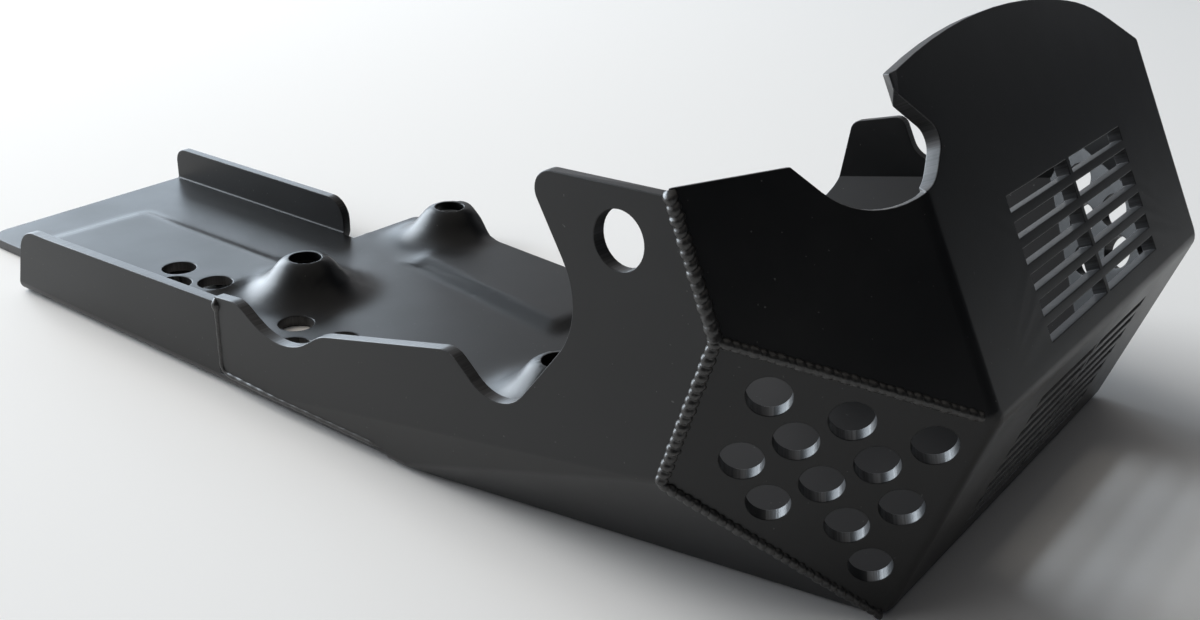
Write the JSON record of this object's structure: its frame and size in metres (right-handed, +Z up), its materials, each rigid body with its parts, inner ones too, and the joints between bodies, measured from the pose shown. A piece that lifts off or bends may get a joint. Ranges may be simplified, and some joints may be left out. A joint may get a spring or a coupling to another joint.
{
  "type": "motorcycle skid plate",
  "caption": "Black-coated folded and welded sheet-metal skid plate with slotted nose, perforated corner panels, pressed floor bosses and a flanged rear tongue.",
  "frame": {"origin": "centre of the overall box at the underside of the floor", "axes": "+X forward towards the nose, +Y to the left side of the motorcycle, +Z up; the plate lies on its flat floor"},
  "size_m": [0.5436, 0.2896, 0.1765],
  "materials": {
    "coated_sheet": "satin black powder coat",
    "coated_weld": "satin black powder coat over a rippled bead"
  },
  "bodies": {
    "root": {"pan": "coated_sheet", "right_side": "coated_sheet", "left_side": "coated_sheet", "weld_right_cheek": "coated_weld", "weld_right_perforated": "coated_weld", "weld_right_corner": "coated_weld", "weld_right_chamfer": "coated_weld", "weld_right_joint": "coated_weld", "weld_left_perforated": "coated_weld", "weld_left_corner": "coated_weld", "weld_left_chamfer": "coated_weld"}
  },
  "joints": []
}
